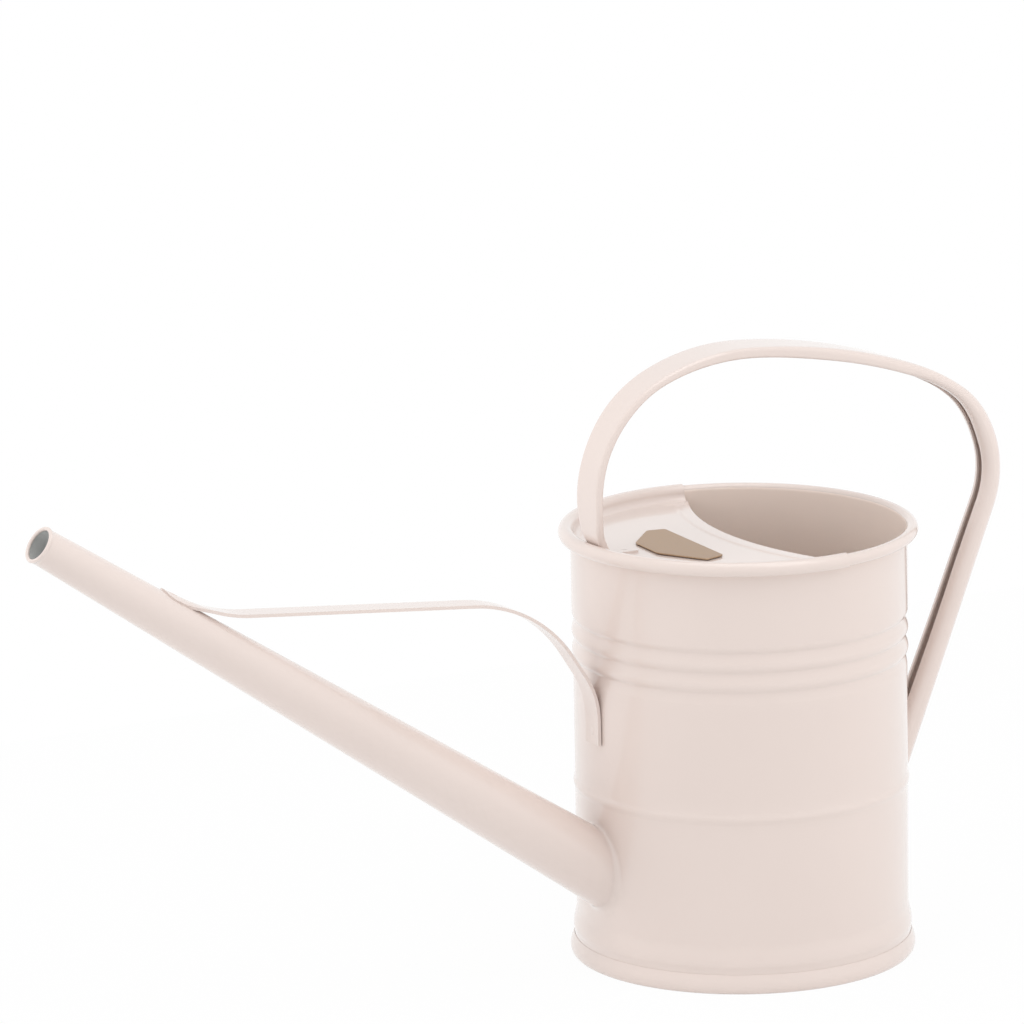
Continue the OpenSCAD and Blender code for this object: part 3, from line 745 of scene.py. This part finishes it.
def weldPlug(name, place, height, node):  # a plug, ground nearly flush with the strap it goes through
    crown = arc((weld["radius"] - weld["round"], height - weld["round"]), weld["round"], 0, 70, 4)
    outline = [(0, 0), (weld["radius"], 0)] + crown + [(0, height + weld["rise"])]
    bm = bmesh.new()
    spinOutline(bm, outline, weld["steps"], closed=False)
    bmesh.ops.transform(bm, matrix=place, verts=bm.verts)
    makePiece(name, bm, creamPaint, "cream_paint", node)


def standing(x, z, lean):  # a place in the can's plane of symmetry, its own Z turned by the lean
    return Matrix.Translation((x, 0, z)) @ Matrix.Rotation(radians(lean), 4, "Y")


braceX, braceZ, braceHeading = pathAt(braceStart, bracePath, brace["width"] / 2)
braceUnder = Matrix.Translation((0, 0, -brace["thickness"] / 2 - endSink(brace["width"] / 2)))
lowWeldHeight = brace["lowHeight"] + brace["width"] / 2
weldPlug("footWeld", standing(footX + handle["footTab"] - handle["tabWidth"] / 2, coverTop, 0),
         handle["thickness"], "handle_front_weld")
weldPlug("rearWeld", standing(body["radius"], weld["rearHeight"], 90),
         handle["thickness"] + cover["gap"], "handle_rear_weld")
weldPlug("braceSpoutWeld", standing(braceX, braceZ, -braceHeading) @ braceUnder,
         brace["thickness"], "brace_spout_weld")
weldPlug("braceWallWeld", standing(-body["radius"], lowWeldHeight, -90),
         brace["thickness"] + brace["gap"], "brace_body_weld")
print("welds: four plugs ground flush")


studio = {
    "floorSize": 800, "floorTone": 0.88, "floorSeen": 0.96, "skyLevel": 0.62, "lampAim": (0, 0, 90),
    "lamps": {
        "leftPanel": {"from": (-1803, 607, 190), "size": (3800, 2400), "power": 27, "mirrored": False},
        "rightPanel": {"from": (1255, -1429, 190), "size": (3800, 2400), "power": 24, "mirrored": False},
        "leftBox": {"from": (-1020, -300, 1660), "size": (1000, 1000), "power": 2.8, "mirrored": False},
        "rightBox": {"from": (300, -1020, 1660), "size": (1000, 1000), "power": 4.2, "mirrored": True},
        "topBox": {"from": (0, 0, 1990), "size": (1400, 1400), "power": 6.8, "mirrored": True},
    },
}


def backdropRays(tree):  # 1 for rays that see the backdrop: straight, in a shine or through glass
    rays = tree.nodes.new("ShaderNodeLightPath")
    either = tree.nodes.new("ShaderNodeMath")
    either.operation = "MAXIMUM"
    tree.links.new(rays.outputs["Is Camera Ray"], either.inputs[0])
    tree.links.new(rays.outputs["Is Glossy Ray"], either.inputs[1])
    anySeen = tree.nodes.new("ShaderNodeMath")
    anySeen.operation = "MAXIMUM"
    tree.links.new(either.outputs[0], anySeen.inputs[0])
    tree.links.new(rays.outputs["Is Transmission Ray"], anySeen.inputs[1])
    return anySeen.outputs[0]


def seenMaterial(name, tone, seen):  # its look is lighter than the light that it throws on the can
    material = bpy.data.materials.new(name)
    material.use_nodes = True
    tree = material.node_tree
    tree.nodes.clear()
    out = tree.nodes.new("ShaderNodeOutputMaterial")
    lit = tree.nodes.new("ShaderNodeBsdfDiffuse")
    lit.inputs["Color"].default_value = (tone, tone, tone, 1)
    glow = tree.nodes.new("ShaderNodeEmission")
    blend = tree.nodes.new("ShaderNodeMixShader")
    share = tree.nodes.new("ShaderNodeMath")
    share.operation = "MULTIPLY"
    share.inputs[1].default_value = seen
    tree.links.new(backdropRays(tree), share.inputs[0])
    tree.links.new(share.outputs[0], blend.inputs[0])
    tree.links.new(lit.outputs[0], blend.inputs[1])
    tree.links.new(glow.outputs[0], blend.inputs[2])
    tree.links.new(blend.outputs[0], out.inputs["Surface"])
    return material


bm = bmesh.new()
bmesh.ops.create_grid(bm, x_segments=4, y_segments=4, size=studio["floorSize"] / 2 * mm)
floorMesh = bpy.data.meshes.new("floor")
bm.to_mesh(floorMesh)
bm.free()
floorMesh.materials.append(seenMaterial("paleFloor", studio["floorTone"], studio["floorSeen"]))
studioFloor = bpy.data.objects.new("studioFloor", floorMesh)
bpy.context.scene.collection.objects.link(studioFloor)

for name, lamp in studio["lamps"].items():
    light = bpy.data.lights.new(name, "AREA")
    light.shape = "RECTANGLE"
    light.size = lamp["size"][0] * mm
    light.size_y = lamp["size"][1] * mm
    light.energy = lamp["power"]
    stand = bpy.data.objects.new(name, light)
    stand.location = Vector(lamp["from"]) * mm
    toCan = Vector(studio["lampAim"]) * mm - stand.location
    stand.rotation_euler = toCan.to_track_quat("-Z", "Y").to_euler()
    stand.visible_glossy = lamp["mirrored"]
    bpy.context.scene.collection.objects.link(stand)

sky = bpy.data.worlds.new("studioSky")
sky.use_nodes = True
bpy.context.scene.world = sky
skyTree = sky.node_tree
level = skyTree.nodes.new("ShaderNodeMapRange")
level.inputs["To Min"].default_value = studio["skyLevel"]
level.inputs["To Max"].default_value = 1
skyTree.links.new(backdropRays(skyTree), level.inputs["Value"])
skyTree.links.new(level.outputs["Result"], skyTree.nodes["Background"].inputs["Strength"])
skyTree.nodes["Background"].inputs["Color"].default_value = (1, 1, 1, 1)

view = {
    "distance": 3000, "turn": 28.7, "rise": 13.46, "roll": -0.98, "aim": (-81, 80.6, 80),
    "lens": 293.03, "sensor": 36, "clipEnd": 100,
}
turn, rise = radians(view["turn"]), radians(view["rise"])
back = Vector((-sin(turn) * cos(rise), -cos(turn) * cos(rise), sin(rise)))
right = Vector((cos(turn), -sin(turn), 0))
up = back.cross(right)
aim = Vector((0, 0, view["aim"][2])) + view["aim"][0] * right + view["aim"][1] * up
lens = bpy.data.cameras.new("mainView")
lens.lens = view["lens"]
lens.sensor_width = view["sensor"]
lens.clip_end = view["clipEnd"]
camera = bpy.data.objects.new("mainView", lens)
tilt = Matrix((right, up, back)).transposed() @ Matrix.Rotation(radians(view["roll"]), 3, "Z")
camera.matrix_world = Matrix.Translation((aim + view["distance"] * back) * mm) @ tilt.to_4x4()
bpy.context.scene.collection.objects.link(camera)
bpy.context.scene.camera = camera
bpy.context.scene.view_settings.view_transform = "Standard"
print("studio: floor, two panels, three soft boxes, sky and camera")
